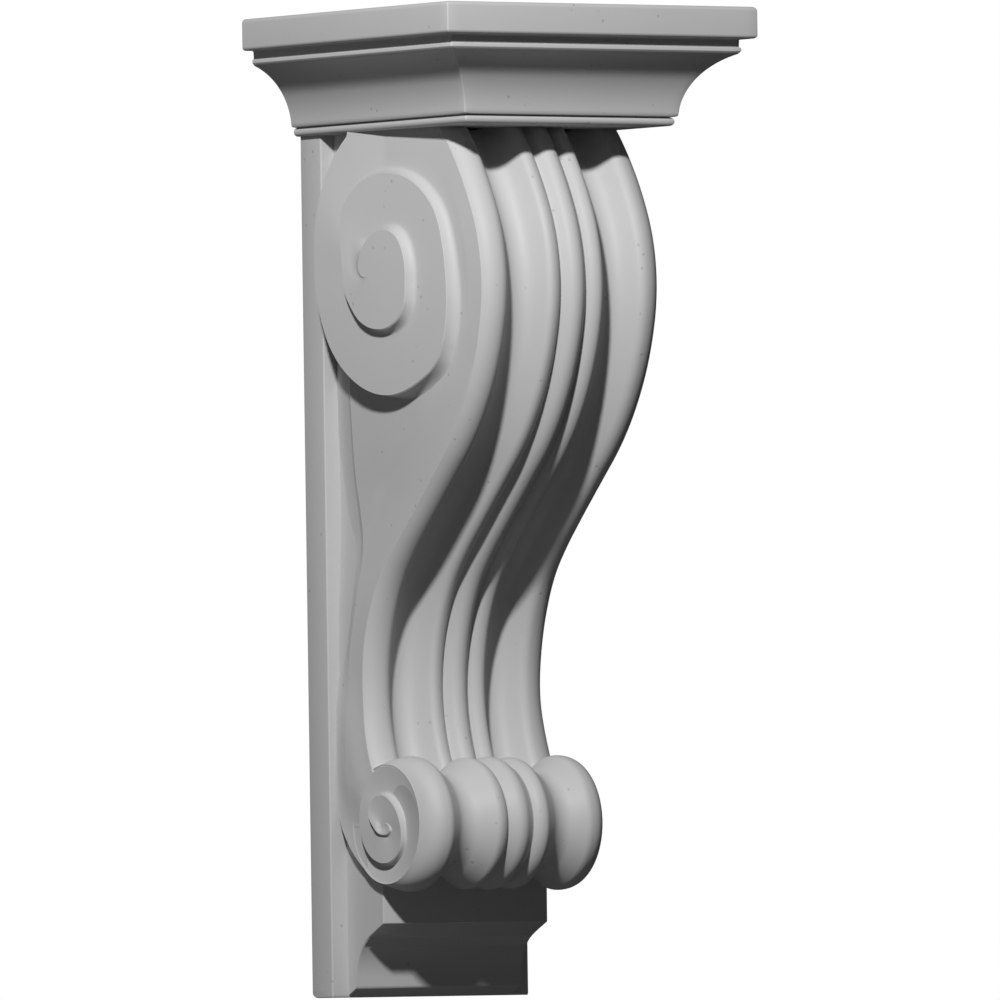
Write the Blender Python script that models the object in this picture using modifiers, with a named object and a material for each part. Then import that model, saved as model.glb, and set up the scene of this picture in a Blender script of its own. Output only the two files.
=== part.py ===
"""A moulded corbel: a mitred cap, a wall plate, an S-shaped bracket with five lobes, and scrolls on its sides.

The whole corbel is one moulded piece, so it is one solid. Widths run along X, the front faces -Y, and Z is up.
The wall lies on the plane y = 0, and the origin is on that plane, in the middle of the back at half the height.
Lengths below are millimetres. A place on a side is a pair (depth, height): how far it stands from the wall, and
how far above the foot. A side's level is its distance from the middle plane of the corbel.
"""

import bmesh
import bpy
from math import asin, atan2, cos, hypot, pi, radians, sin

MM = 0.001

# Driving dimensions of the whole
HEIGHT = 540.0
WIDTH = 204.7
DEPTH = 203.6
MOUNT_HEIGHT = HEIGHT / 2

# Cap: the inset from the slab's edge against the distance below the top
SLAB_HEIGHT = 17.5
SLAB_EASING = 2.0
RECESS_INSET = 7.4
LIP_INSET = 6.5
LIP_TOP = 22.4
LIP_BOTTOM = 24.4
COVE_RADIUS = 38.0
COVE_START = 22.0
COVE_END = 84.0
COVE_FOOT_INSET = 31.7
COVE_FOOT = 59.0
BEAD_INSET = 33.2
BEAD_TOP = 59.6
BEAD_BOTTOM = 64.5

# Wall plate
PLATE_HALF_WIDTH = 65.2
PLATE_DEPTH = 20.5
PLATE_BACK_RADIUS = 5.0
PLATE_TOP = 483.0

# Bracket: the line of its front arris, from inside the cap down into the lower scroll
HALF_WIDTH = 58.2
BRACKET_TOP = 480.0
BRACKET_ROOT = 10.0
ARRIS_START_DEPTH = 124.8
ARRIS_START_HEADING = 43.5
# Each bend is a radius and the angle it turns, positive towards the wall; a radius of 0 is a straight length
ARRIS_BENDS = ((177.0, 20.4), (98.0, 34.7), (148.0, 34.0), (0.0, 55.8), (232.0, -5.4), (90.0, -14.6), (111.0, -52.0))

# Lobes across the front: places from the middle plane, and rises above the arris
ROLL_CREST = 48.1
ROLL_RISE = 4.9
VALLEY = 30.8
VALLEY_RISE = -8.3
BEAD_CREST = 14.6
BEAD_RISE = 7.1
GROOVE = 8.6
GROOVE_RISE = 3.3
REED_RISE = 9.2
ROLL_RADIUS = 6.5
VALLEY_RADIUS = 9.5
BEAD_RADIUS = 4.5
GROOVE_RADIUS = 2.0
REED_RADIUS = 6.5
ARC_STEPS = 2

# Lower scroll: a roll across the front, with the same lobes
SCROLL_DEPTH = 68.3
SCROLL_HEIGHT = 95.0
SCROLL_RADIUS = 33.0
SCROLL_HALF_WIDTH = 60.2
SCROLL_STEPS = 28

# Foot block under the lower scroll
FOOT_HALF_WIDTH = 54.5
FOOT_DEPTH = 56.2
FOOT_ARRIS = 40.2
FOOT_TOP = 80.0
FOOT_SLOPE_END = (43.2, 34.0)
FOOT_COVE_RADIUS = 26.0
FOOT_COVE_START = 27.0
FOOT_SHANK = 29.2
FOOT_EDGE = 4.5

# Upper scroll on each side: a broad coil that leans outwards to the back, a second turn and an eye
EYE = (82.0, 397.0)
COIL_LEAN = 0.094
COIL_ROOT = 50.0
COIL_BACK = ((54.0, 478.0), (43.0, 464.0), (33.0, 445.0), (27.0, 425.0), (24.5, 402.0), (26.0, 380.0),
             (33.0, 357.0), (46.0, 341.0), (66.0, 331.5), (88.0, 329.3))
COIL_FRONT = ((88.0, 329.3), (108.0, 332.0), (124.0, 339.5), (137.0, 351.0), (144.0, 363.0))
TURN_RADII = (61.0, 61.0, 60.5, 59.0, 57.0, 55.0, 52.5, 49.0, 45.5, 42.5, 41.0, 41.5, 44.5, 51.0, 57.0, 60.5)
TURN_RISE = 6.0
EYE_RADII = (29.5, 29.5, 29.0, 28.0, 27.5, 27.0, 26.5, 26.0, 26.0, 26.5, 27.0, 27.5, 28.0, 28.5, 29.0, 29.5)
EYE_RISE = 11.0
BEVEL = 4.5

# Lower scroll's cheek on each side, which widens to the back
CHEEK_LEAN = 0.10
CHEEK_BACK = ((26.0, 214.0), (21.8, 196.0), (19.0, 178.0), (18.0, 158.0), (18.0, 136.0), (20.0, 112.0),
              (25.5, 93.0), (35.0, 76.0), (47.0, 65.5), (60.0, 61.5))
CHEEK_FRONT = ((60.0, 61.5), (76.0, 63.5), (90.0, 71.0), (98.0, 84.0), (99.0, 98.0), (94.0, 111.0),
               (82.0, 121.0), (60.0, 128.0), (48.0, 150.0), (44.0, 172.0), (46.0, 196.0), (50.0, 214.0))
CURL_CENTRE = (68.0, 93.5)
CURL_RADII = (22.0, 22.0, 21.5, 20.5, 19.5, 19.0, 19.0, 19.5, 20.5, 21.5, 22.0, 22.0)
CURL_RISE = 3.0
CURL_EYE_RADIUS = 11.0
CURL_EYE_RISE = 5.0


def place(x, depth, height):
    """A point in metres, from its distance off the middle plane, its depth and its height above the foot."""
    return (x * MM, -depth * MM, (height - MOUNT_HEIGHT) * MM)


def arc(centre, radius, start, end, steps):
    """Points on an arc about a centre, from one angle to another in degrees."""
    turns = [radians(start + (end - start) * i / steps) for i in range(steps + 1)]
    return [(centre[0] + radius * cos(t), centre[1] + radius * sin(t)) for t in turns]


def smooth(points, steps):
    """A Catmull-Rom curve through the points, with a number of steps between each two."""
    ends = [points[0]] + list(points) + [points[-1]]
    curve = []
    for a, b, c, d in zip(ends, ends[1:], ends[2:], ends[3:]):
        for i in range(steps):
            t = i / steps
            curve.append(tuple(
                0.5 * (2 * q + (r - p) * t + (2 * p - 5 * q + 4 * r - s) * t * t + (3 * q - p - 3 * r + s) * t ** 3)
                for p, q, r, s in zip(a, b, c, d)))
    return curve + [tuple(points[-1])]


def at_height(curve, height):
    """The depth of a falling or rising curve of (depth, height) points where it passes a height."""
    for (d0, h0), (d1, h1) in zip(curve, curve[1:]):
        if min(h0, h1) <= height <= max(h0, h1) and h0 != h1:
            return d0 + (d1 - d0) * (height - h0) / (h1 - h0)
    return min(curve, key=lambda point: abs(point[1] - height))[0]


def arris_line(steps):
    """The bracket's front arris as (depth, height, heading): bends joined end to end, heading from straight down."""
    depth, height, heading = ARRIS_START_DEPTH, BRACKET_TOP, radians(ARRIS_START_HEADING)
    line = [(depth, height, heading)]
    for radius, amount in ARRIS_BENDS:
        if radius == 0.0:
            pieces = max(2, steps // 2)
            for _ in range(pieces):
                depth += amount / pieces * sin(heading)
                height -= amount / pieces * cos(heading)
                line.append((depth, height, heading))
            continue
        side = 1 if amount > 0 else -1
        pieces = max(2, round(steps * abs(amount) / 30))
        for _ in range(pieces):
            turned = heading - radians(amount) / pieces
            depth += side * radius * (cos(turned) - cos(heading))
            height -= side * radius * (sin(heading) - sin(turned))
            heading = turned
            line.append((depth, height, heading))
    return line


def flank(crest, crest_radius, foot, foot_radius, steps):
    """The side of a lobe: an arc at its crest and an arc at its foot, joined by the line that touches both."""
    run, fall = foot[0] - crest[0], crest[1] - foot[1]
    side = 1 if run > 0 else -1
    both = crest_radius + foot_radius
    span = hypot(run, both - fall)
    slope = asin(min(1.0, both / span)) - atan2(both - fall, abs(run))
    top = [(crest[0] + side * crest_radius * sin(slope * i / steps),
            crest[1] - crest_radius * (1 - cos(slope * i / steps))) for i in range(steps + 1)]
    bottom = [(foot[0] - side * foot_radius * sin(slope * i / steps),
               foot[1] + foot_radius * (1 - cos(slope * i / steps))) for i in range(steps, -1, -1)]
    return top + bottom


def shoulder(crest, edge, steps):
    """A round from a crest to an edge: the arc that is level at the crest and passes through the edge."""
    run, fall = edge[0] - crest[0], crest[1] - edge[1]
    radius = (run * run + fall * fall) / (2 * fall)
    sweep = asin(abs(run) / radius)
    side = 1 if run > 0 else -1
    return [(crest[0] + side * radius * sin(sweep * i / steps),
             crest[1] - radius * (1 - cos(sweep * i / steps))) for i in range(steps + 1)]


def lobes(half_width):
    """The five lobes across the front, as (place, rise above the arris), from one arris to the other."""
    roll, valley = (ROLL_CREST, ROLL_RISE), (VALLEY, VALLEY_RISE)
    bead, groove, reed = (BEAD_CREST, BEAD_RISE), (GROOVE, GROOVE_RISE), (0.0, REED_RISE)
    half = shoulder(roll, (half_width, 0.0), ARC_STEPS)[::-1]
    half += flank(roll, ROLL_RADIUS, valley, VALLEY_RADIUS, ARC_STEPS)[1:]
    half += flank(bead, BEAD_RADIUS, valley, VALLEY_RADIUS, ARC_STEPS)[::-1][1:]
    half += shoulder(bead, groove, ARC_STEPS)[1:]
    half += flank(reed, REED_RADIUS, groove, GROOVE_RADIUS, ARC_STEPS)[::-1][1:]
    return [(-x, rise) for x, rise in half] + half[::-1][1:]


def loft(name, rings):
    """A closed solid through rings of the same number of points, with a flat face over the first and the last."""
    mesh = bpy.data.meshes.new(name)
    solid = bmesh.new()
    rows = [[solid.verts.new(point) for point in ring] for ring in rings]
    count = len(rings[0])
    for near, far in zip(rows, rows[1:]):
        for i in range(count):
            j = (i + 1) % count
            solid.faces.new((near[i], near[j], far[j], far[i]))
    solid.faces.new(rows[0][::-1])
    solid.faces.new(rows[-1])
    bmesh.ops.recalc_face_normals(solid, faces=solid.faces)
    bmesh.ops.triangulate(solid, faces=solid.faces)
    solid.to_mesh(mesh)
    solid.free()
    return bpy.data.objects.new(name, mesh)


def extruded(name, outline, half_width):
    """A flat outline of (depth, height) points carried across the corbel's width."""
    curve = bpy.data.curves.new(name, "CURVE")
    curve.dimensions = "2D"
    curve.fill_mode = "BOTH"
    curve.extrude = half_width * MM
    spline = curve.splines.new("POLY")
    spline.points.add(len(outline) - 1)
    for point, (depth, height) in zip(spline.points, outline):
        point.co = (depth * MM, (height - MOUNT_HEIGHT) * MM, 0.0, 1.0)
    spline.use_cyclic_u = True
    flat = bpy.data.objects.new(name + "_outline", curve)
    bpy.context.scene.collection.objects.link(flat)
    flat.rotation_euler = (pi / 2, 0.0, -pi / 2)
    bpy.context.view_layer.update()
    mesh = bpy.data.meshes.new_from_object(flat.evaluated_get(bpy.context.evaluated_depsgraph_get()))
    welded = bmesh.new()
    welded.from_mesh(mesh)
    bmesh.ops.remove_doubles(welded, verts=welded.verts, dist=0.00001)
    # Whole micrometres keep the back faces of the plate and the cap on exactly one plane
    for vertex in welded.verts:
        vertex.co = [round(value, 6) for value in flat.matrix_world @ vertex.co]
    welded.to_mesh(mesh)
    welded.free()
    bpy.data.objects.remove(flat)
    return bpy.data.objects.new(name, mesh)


def cap():
    """The mitred cap: one rectangle for each line of its moulding, flat against the wall."""
    cove_centre = (COVE_FOOT_INSET - COVE_RADIUS, COVE_FOOT + 2.0)
    cove = [(inset, below) for inset, below in
            [(cove_centre[0] + COVE_RADIUS * sin(radians(turn)), cove_centre[1] - COVE_RADIUS * cos(radians(turn)))
             for turn in [COVE_START + (COVE_END - COVE_START) * i / 7 for i in range(8)]]]
    bead_radius = (BEAD_BOTTOM - BEAD_TOP) / 2
    bead = [(BEAD_INSET + bead_radius - bead_radius * sin(pi * i / 4), BEAD_TOP + bead_radius * (1 - cos(pi * i / 4)))
            for i in range(5)]
    lines = [(SLAB_EASING, 0.0), (0.0, SLAB_EASING), (0.0, SLAB_HEIGHT - 1.0), (1.0, SLAB_HEIGHT),
             (RECESS_INSET, SLAB_HEIGHT), (RECESS_INSET, LIP_TOP), (LIP_INSET, LIP_TOP + 0.4), (LIP_INSET, LIP_BOTTOM)]
    lines += cove + [(COVE_FOOT_INSET, COVE_FOOT)] + bead
    mesh = bpy.data.meshes.new("cap")
    solid = bmesh.new()
    rows = []
    for inset, below in lines:
        x, front, height = WIDTH / 2 - inset, DEPTH - inset, HEIGHT - below
        corners = [(-x, 0.0), (-x, front), (x, front), (x, 0.0)]
        rows.append([solid.verts.new(place(side, depth, height)) for side, depth in corners])
    for upper, lower in zip(rows, rows[1:]):
        for i in range(3):
            solid.faces.new((upper[i], upper[i + 1], lower[i + 1], lower[i]))
    solid.faces.new(rows[0][::-1])
    solid.faces.new(rows[-1])
    solid.faces.new([row[0] for row in rows] + [row[3] for row in rows[::-1]])
    bmesh.ops.recalc_face_normals(solid, faces=solid.faces)
    solid.to_mesh(mesh)
    solid.free()
    return bpy.data.objects.new("cap", mesh)


def wall_plate():
    """The flat plate on the wall, up into the cap, with its lower back edge rounded."""
    corner = arc((PLATE_BACK_RADIUS, PLATE_BACK_RADIUS), PLATE_BACK_RADIUS, 180.0, 270.0, 4)
    return extruded("wall_plate", [(0.0, PLATE_TOP)] + corner + [(PLATE_DEPTH, 0.0), (PLATE_DEPTH, PLATE_TOP)],
                    PLATE_HALF_WIDTH)


def foot_block():
    """The block under the lower scroll: an upright face, an arris and a cove down to a narrow shank."""
    cove_centre = (FOOT_SHANK + FOOT_COVE_RADIUS, FOOT_SLOPE_END[1] - FOOT_COVE_RADIUS * cos(radians(FOOT_COVE_START)))
    cove = arc(cove_centre, FOOT_COVE_RADIUS, 90.0 + FOOT_COVE_START, 180.0, 5)
    outline = [(10.0, FOOT_TOP), (FOOT_DEPTH, FOOT_TOP), (FOOT_DEPTH, FOOT_ARRIS), FOOT_SLOPE_END] + cove
    outline += [(FOOT_SHANK, FOOT_EDGE + 2.0), (FOOT_SHANK - 2.0, FOOT_EDGE), (PLATE_DEPTH - 0.5, 0.8), (10.0, 0.8)]
    return extruded("foot_block", outline, FOOT_HALF_WIDTH)


def bracket():
    """The S-shaped body: the lobes carried down the arris line, with flat sides back into the wall plate."""
    rings = []
    for depth, height, heading in arris_line(6):
        ring = [place(-HALF_WIDTH, BRACKET_ROOT, height)]
        ring += [place(x, depth + rise * cos(heading), height + rise * sin(heading)) for x, rise in lobes(HALF_WIDTH)]
        ring.append(place(HALF_WIDTH, BRACKET_ROOT, height))
        rings.append(ring)
    return loft("bracket", rings)


def lower_scroll():
    """The roll at the foot of the bracket: the lobes turned about a line across the corbel."""
    profile = [(SCROLL_RADIUS + rise, x) for x, rise in lobes(SCROLL_HALF_WIDTH)]
    profile = [(0.0, -SCROLL_HALF_WIDTH)] + profile + [(0.0, SCROLL_HALF_WIDTH)]
    mesh = bpy.data.meshes.new("lower_scroll")
    points = [(radius * MM, 0.0, x * MM) for radius, x in profile[::-1]]
    mesh.from_pydata(points, [(i, i + 1) for i in range(len(points) - 1)], [])
    roll = bpy.data.objects.new("lower_scroll", mesh)
    roll.location = place(0.0, SCROLL_DEPTH, SCROLL_HEIGHT)
    roll.rotation_euler = (0.0, pi / 2, 0.0)
    screw = roll.modifiers.new("turn", "SCREW")
    screw.steps = SCROLL_STEPS
    screw.render_steps = SCROLL_STEPS
    screw.use_merge_vertices = True
    screw.merge_threshold = 0.00005
    return roll


def leaning_cheek(name, side, back, front, level, lean, root, rows):
    """A cheek between a back and a front line, whose face leans outwards from the front line to the back."""
    low, high = min(point[1] for point in back), max(point[1] for point in back)
    rings = []
    for i in range(rows + 1):
        height = low + (high - low) * (1 - cos(pi / 2 * i / rows)) * 0.9 + (high - low) * 0.1 * i / rows
        near, far = at_height(back, height), at_height(front, height)
        far = max(far, near + 1.0)
        rings.append([place(side * root, near, height), place(side * (level + lean * (far - near)), near, height),
                      place(side * level, far, height), place(side * root, far, height)])
    return loft(name, rings)


def raised_turn(name, side, centre, radii, root, rise, bevel):
    """A turn of the scroll: a closed round outline whose radius changes as it goes, with a bevelled edge."""
    count = 2 * len(radii)
    wheel = [*radii[-1:], *radii, *radii[:2]]
    closed = smooth([(radius, i) for i, radius in enumerate(wheel)], 2)[2:2 + count]
    rings = []
    for level, inset in ((root, 0.0), (rise(0.0) - bevel, 0.0), (rise(0.0), bevel)):
        ring = []
        for i, (radius, _) in enumerate(closed):
            turn = 2 * pi * i / count
            depth = centre[0] + (radius - inset) * cos(turn)
            height = centre[1] + (radius - inset) * sin(turn)
            lean = 0.0 if level == root else rise(depth) - rise(0.0)
            ring.append(place(side * (level + lean), depth, height))
        rings.append(ring)
    return loft(name, rings)


def side_scrolls(side):
    """The scrolls that stand out from one side of the bracket, above and below."""
    arris = [(depth - 2.0, height) for depth, height, _ in arris_line(6)]
    coil_front = smooth(COIL_FRONT, 3) + [point for point in arris[::-1] if point[1] > COIL_FRONT[-1][1] + 8.0]
    parts = [leaning_cheek("upper_coil", side, smooth(COIL_BACK, 3), coil_front, HALF_WIDTH - 0.5, COIL_LEAN,
                           COIL_ROOT, 26)]
    face = HALF_WIDTH + COIL_LEAN * (at_height(arris, EYE[1]) - 0.0)
    parts.append(raised_turn("upper_turn", side, EYE, TURN_RADII, COIL_ROOT,
                             lambda depth: face + TURN_RISE - COIL_LEAN * depth, BEVEL))
    parts.append(raised_turn("upper_eye", side, EYE, EYE_RADII, COIL_ROOT,
                             lambda depth: face + EYE_RISE - COIL_LEAN * depth, BEVEL))
    parts.append(leaning_cheek("lower_cheek", side, smooth(CHEEK_BACK, 3), smooth(CHEEK_FRONT, 3), HALF_WIDTH - 0.5,
                               CHEEK_LEAN, COIL_ROOT, 24))
    parts.append(raised_turn("lower_turn", side, CURL_CENTRE, CURL_RADII, COIL_ROOT,
                             lambda depth: HALF_WIDTH + CURL_RISE, BEVEL / 2))
    parts.append(raised_turn("lower_eye", side, CURL_CENTRE, (CURL_EYE_RADIUS,) * 6, COIL_ROOT,
                             lambda depth: HALF_WIDTH + CURL_EYE_RISE, BEVEL / 2))
    return parts


def primed_finish():
    """The light grey primer that the corbel is sold in."""
    material = bpy.data.materials.new("grey_primer")
    material.use_nodes = True
    shader = material.node_tree.nodes["Principled BSDF"]
    shader.inputs["Base Color"].default_value = (0.46, 0.46, 0.46, 1.0)
    shader.inputs["Roughness"].default_value = 0.5
    shader.inputs["Metallic"].default_value = 0.0
    return material


def main():
    for thing in list(bpy.data.objects):
        bpy.data.objects.remove(thing)
    parts = bpy.data.collections.new("corbel")
    joined = bpy.data.collections.new("joined_shapes")
    for collection in (parts, joined):
        bpy.context.scene.collection.children.link(collection)

    corbel = wall_plate()
    corbel.name = "corbel"
    parts.objects.link(corbel)
    corbel.data.materials.append(primed_finish())
    shapes = [cap(), foot_block(), bracket(), lower_scroll()] + side_scrolls(-1) + side_scrolls(1)
    for shape in shapes:
        joined.objects.link(shape)
        shape.hide_render = True
        shape.display_type = "WIRE"
        union = corbel.modifiers.new(shape.name, "BOOLEAN")
        union.operation = "UNION"
        union.solver = "EXACT"
        union.object = shape


main()
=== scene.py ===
# %% [markdown]
# A moulded corbel in grey primer.
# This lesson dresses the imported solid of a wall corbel: a mitred cap over an S-shaped bracket with
# scrolled sides. Every piece below is a surface worked out as arrays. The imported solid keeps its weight
# and contact.

# %% Load the frame
import math

import bmesh
import bpy
import numpy as np
from mathutils import Matrix


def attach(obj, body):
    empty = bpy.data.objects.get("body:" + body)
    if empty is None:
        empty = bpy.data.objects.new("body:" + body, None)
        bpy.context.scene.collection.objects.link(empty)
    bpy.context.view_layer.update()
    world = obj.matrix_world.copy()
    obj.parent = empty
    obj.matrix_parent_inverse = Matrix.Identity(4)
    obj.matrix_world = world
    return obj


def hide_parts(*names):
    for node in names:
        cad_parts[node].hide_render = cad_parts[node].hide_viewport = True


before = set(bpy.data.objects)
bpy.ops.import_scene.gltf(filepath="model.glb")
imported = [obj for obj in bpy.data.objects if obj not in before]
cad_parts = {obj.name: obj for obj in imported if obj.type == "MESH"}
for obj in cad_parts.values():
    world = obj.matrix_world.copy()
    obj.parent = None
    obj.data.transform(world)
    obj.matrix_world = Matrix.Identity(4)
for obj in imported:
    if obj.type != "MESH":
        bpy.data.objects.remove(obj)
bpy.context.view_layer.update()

# %% [markdown]
# Sizes are in millimetres, as they would be on a moulder's drawing. A point on a side is (depth,
# height): how far it stands out from the wall and how far it is above the foot. A level on a side is the
# distance from the middle plane. Meshes are in metres with the origin at half height.

# %% Sizes shared by the pieces
MM = 0.001
HEIGHT = 540.0
WIDTH = 204.7
DEPTH = 203.6
PLATE_HALF = 65.2
PLATE_DEPTH = 20.5


def metres(points):
    """Rows of (x, depth, height) in millimetres become x, -depth and height - HEIGHT / 2, in metres."""
    points = np.asarray(points, float)
    return np.stack([points[..., 0], -points[..., 1], points[..., 2] - HEIGHT / 2], axis=-1) * MM


# %% Turn grids of points into closed meshes
def grid_faces(rows, columns, wrap=False):
    """Corner numbers of the quads between neighbours, also from the last column to the first if wrapped."""
    across = columns if wrap else columns - 1
    r, c = np.meshgrid(np.arange(rows - 1), np.arange(across), indexing="ij")
    a = r * columns + c
    b = r * columns + (c + 1) % columns
    return np.stack([a, b, b + columns, a + columns], axis=-1).reshape(-1, 4)


def end_caps(rows, columns):
    """The two large faces that close a wrapped grid: its first and its last row."""
    return [np.arange(columns), (rows - 1) * columns + np.arange(columns)]


def mesh_piece(name, points, quads, caps, weld=0.002, flip=False):
    """One object from points in millimetres, quads and closing faces, welded and with its faces outwards."""
    mesh = bpy.data.meshes.new(name)
    corners = metres(points.reshape(-1, 3))
    if flip:
        corners[:, 0] *= -1
    mesh.from_pydata(corners, [], quads.tolist() + [list(cap) for cap in caps])
    work = bmesh.new()
    work.from_mesh(mesh)
    bmesh.ops.remove_doubles(work, verts=work.verts, dist=weld * MM)
    bmesh.ops.dissolve_degenerate(work, edges=work.edges, dist=weld * MM / 2)
    bmesh.ops.recalc_face_normals(work, faces=work.faces)
    open_edges = sum(1 for edge in work.edges if len(edge.link_faces) != 2)
    work.to_mesh(mesh)
    work.free()
    piece = bpy.data.objects.new(name, mesh)
    bpy.context.scene.collection.objects.link(piece)
    mesh.polygons.foreach_set("use_smooth", np.ones(len(mesh.polygons), bool))
    mesh.update()
    print(name, len(mesh.polygons), "faces,", open_edges, "open edges")
    return piece


def soft_shading(piece, angle):
    """Faces that meet at less than the angle shade smoothly and sharper edges stay crisp."""
    piece.data.set_sharp_from_angle(angle=math.radians(angle))
    return piece


def both_sides(kind, make, angle, *shape):
    """The same piece for the left side, where it is mirrored, and for the right side."""
    return [soft_shading(make(name, flip, *shape), angle)
            for name, flip in (("left_" + kind, True), ("right_" + kind, False))]


# %% Smooth curves
def through(places, values, at):
    """A smooth curve through values at growing places: cubic pieces with slopes taken from the neighbours."""
    places, values, at = (np.asarray(v, float) for v in (places, values, at))
    slopes = np.gradient(values, places)
    i = np.clip(np.searchsorted(places, at) - 1, 0, len(places) - 2)
    gap = places[i + 1] - places[i]
    t = np.clip((at - places[i]) / gap, 0.0, 1.0)
    a, b = values[i], values[i + 1]
    return ((2 * t ** 3 - 3 * t ** 2 + 1) * a + (t ** 3 - 2 * t ** 2 + t) * gap * slopes[i]
            + (3 * t ** 2 - 2 * t ** 3) * b + (t ** 3 - t ** 2) * gap * slopes[i + 1])


def curve(table):
    """The smooth curve through a table of (place, value) pairs, as a function of the place."""
    places, values = np.array(table, float).T
    return lambda at: through(places, values, at)


def ramp(at, start, end):
    """0 before the start, 1 past the end, and 3t^2 - 2t^3 between them."""
    t = np.clip((np.asarray(at, float) - start) / (end - start), 0.0, 1.0)
    return t * t * (3 - 2 * t)


# %% [markdown]
# The cap is a run of mouldings mitred at the two front corners. One profile, read from the top edge
# down, is carried round three sides of a rectangle. Each point of the profile has its own inset, so the
# mitre makes itself. A box with a bevel could stand for the slab, but the cove would still need a mesh
# of its own.

# %% The cap's profile
def arc(centre, radius, start, end, count):
    """Points round a centre: centre + radius times the cosine and sine of an angle from start to end."""
    turn = np.radians(np.linspace(start, end, count))
    return np.stack([centre[0] + radius * np.cos(turn), centre[1] + radius * np.sin(turn)], axis=-1)


SLAB = 17.5
SLAB_TOP_ROUND = 2.4
SLAB_FOOT_ROUND = 2.0
RECESS = (7.4, 21.6)
LIP_ROUND = 0.8
COVE_RADIUS = 38.0
COVE_FOOT = (31.7, 61.0)
BEAD_RADIUS = 2.4
CAP_FOOT = 64.5

slab_top = arc((SLAB_TOP_ROUND, SLAB_TOP_ROUND), SLAB_TOP_ROUND, -90.0, -180.0, 9)
slab_foot = arc((SLAB_FOOT_ROUND, SLAB - SLAB_FOOT_ROUND), SLAB_FOOT_ROUND, 180.0, 90.0, 8)
lip = arc((7.3, 22.9), LIP_ROUND, -90.0, -180.0, 5)
cove = arc((COVE_FOOT[0] - COVE_RADIUS, COVE_FOOT[1]), COVE_RADIUS, -68.0, -6.0, 44)
bead = arc((35.6, 62.0), BEAD_RADIUS, -90.0, -270.0, 15)
cap_profile = np.concatenate([
    [(7.0, 0.0)], slab_top, slab_foot, [(6.6, SLAB), (7.3, SLAB + 0.7), RECESS], lip,
    [(6.5, 24.2), (6.9, 24.7)], cove, [(31.7, 58.6), (32.2, 59.2), (34.0, 59.5)], bead, [(39.0, CAP_FOOT)]])


# %% The cap
MITRE_ROUND = 0.7


def cap_piece():
    """Each profile point (inset, below) runs round at half width WIDTH / 2 - inset and front DEPTH - inset."""
    inset, below = cap_profile[:, 0][:, None], cap_profile[:, 1][:, None]
    run = np.linspace(0.0, 1.0, 30)
    bend = np.radians(np.linspace(0.0, 90.0, 5))
    half, front = WIDTH / 2 - inset, DEPTH - inset
    mirror = np.array([-1.0, 1.0])
    left = np.stack(np.broadcast_arrays(-half, (front - MITRE_ROUND) * run), axis=-1)
    corner = np.stack(np.broadcast_arrays(-half + MITRE_ROUND * (1 - np.cos(bend)),
                                          front - MITRE_ROUND * (1 - np.sin(bend))), axis=-1)[:, 1:-1]
    middle = np.stack(np.broadcast_arrays((half - MITRE_ROUND) * (2 * run - 1), front), axis=-1)
    path = np.concatenate([left, corner, middle, corner[:, ::-1] * mirror, left[:, ::-1] * mirror], axis=1)
    rows, columns = path.shape[:2]
    height = np.broadcast_to(HEIGHT - below, (rows, columns))
    points = np.concatenate([path, height[..., None]], axis=-1)
    starts = np.arange(rows) * columns
    back = np.concatenate([starts, (starts + columns - 1)[::-1]])
    return mesh_piece("cap", points, grid_faces(rows, columns), end_caps(rows, columns) + [back])


cap = soft_shading(cap_piece(), 38.0)

# %% [markdown]
# The wall plate is the board that everything grows out of. In plan it is a rectangle with eased edges,
# carried up to the cap, and its lower end is rounded towards the wall. A cube with a bevel would do, but
# rows of a plan outline let the foot's two roundings differ.

# %% The wall plate
PLATE_EASE = 0.9
PLATE_FOOT_ROUND = 5.0
PLATE_FOOT_EASE = 0.7
PLATE_FOOT_DRAW = 0.5
PLATE_TOP = HEIGHT - 64.3


def plate_piece():
    """A plan outline in rows; at the foot the back retreats along an arc and the other sides draw in."""
    near, far = PLATE_HALF - PLATE_EASE, PLATE_DEPTH - PLATE_EASE
    plan = np.concatenate([arc((-near, far), PLATE_EASE, 180.0, 90.0, 5),
                           arc((near, far), PLATE_EASE, 90.0, 0.0, 5),
                           arc((near, PLATE_EASE), PLATE_EASE, 0.0, -90.0, 5),
                           arc((-near, PLATE_EASE), PLATE_EASE, -90.0, -180.0, 5)])
    foot = arc((0.0, PLATE_FOOT_ROUND), PLATE_FOOT_ROUND, -90.0, 0.0, 8)[:, 1]
    heights = np.concatenate([foot, np.linspace(8.0, PLATE_TOP, 180)])[:, None]
    below = PLATE_FOOT_ROUND - np.minimum(heights, PLATE_FOOT_ROUND)
    back = PLATE_FOOT_ROUND - np.sqrt(np.clip(PLATE_FOOT_ROUND ** 2 - below ** 2, 0.0, None))
    drawn = np.clip(1.0 - heights / PLATE_FOOT_EASE, 0.0, 1.0) * PLATE_FOOT_DRAW
    x = plan[:, 0][None, :] * (1 - drawn / PLATE_HALF)
    depth = np.minimum(np.maximum(plan[:, 1][None, :], back), PLATE_DEPTH - drawn)
    points = np.stack(np.broadcast_arrays(x, depth, heights), -1)
    rows, columns = points.shape[:2]
    return mesh_piece("wall_plate", points, grid_faces(rows, columns, wrap=True), end_caps(rows, columns))


plate = soft_shading(plate_piece(), 50.0)

# %% [markdown]
# The bracket's front is one idea used twice. Across the front runs a row of lobes: a broad roll, a
# valley, a narrow roll or bead, a groove and a middle reed, mirrored. That row is carried down an
# S-shaped line, and at the foot a flatter row is turned about a level axis to make the lower scroll.
# Arcs that share their tangents keep the lobes as smooth as a moulder's template would.

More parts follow.
